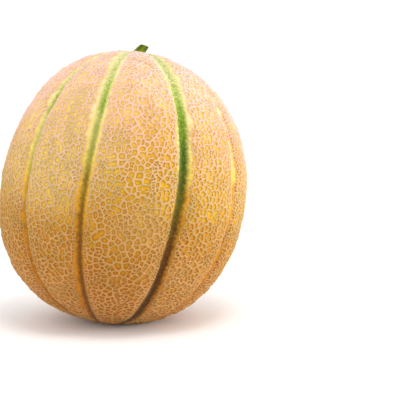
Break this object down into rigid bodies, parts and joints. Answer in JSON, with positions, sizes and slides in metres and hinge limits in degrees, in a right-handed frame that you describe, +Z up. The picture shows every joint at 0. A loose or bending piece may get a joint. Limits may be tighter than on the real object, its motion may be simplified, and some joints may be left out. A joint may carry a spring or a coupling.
{
  "type": "cantaloupe melon",
  "caption": "Whole ripe netted cantaloupe standing on a small flat spot, ribbed from end to end, with a short cut stem stub on top.",
  "frame": {"origin": "bottom centre of the whole fruit's bounding box, on the surface it stands on", "axes": "+Z up, close to the fruit's own axis from blossom end to stem end; -Y towards the viewer in front; +X to the viewer's right. The fruit's axis leans 7.3 degrees towards +X and 6.3 degrees towards +Y."},
  "size_m": [0.1514, 0.1506, 0.1709],
  "materials": {
    "rind": "matt, raised buff corky net over orange-yellow skin, green in the sutures between the ribs",
    "stem": "dull olive green, fibrous, with a dark dried cut end"
  },
  "bodies": {
    "root": {"melon": "rind", "stem": "stem"}
  },
  "joints": []
}
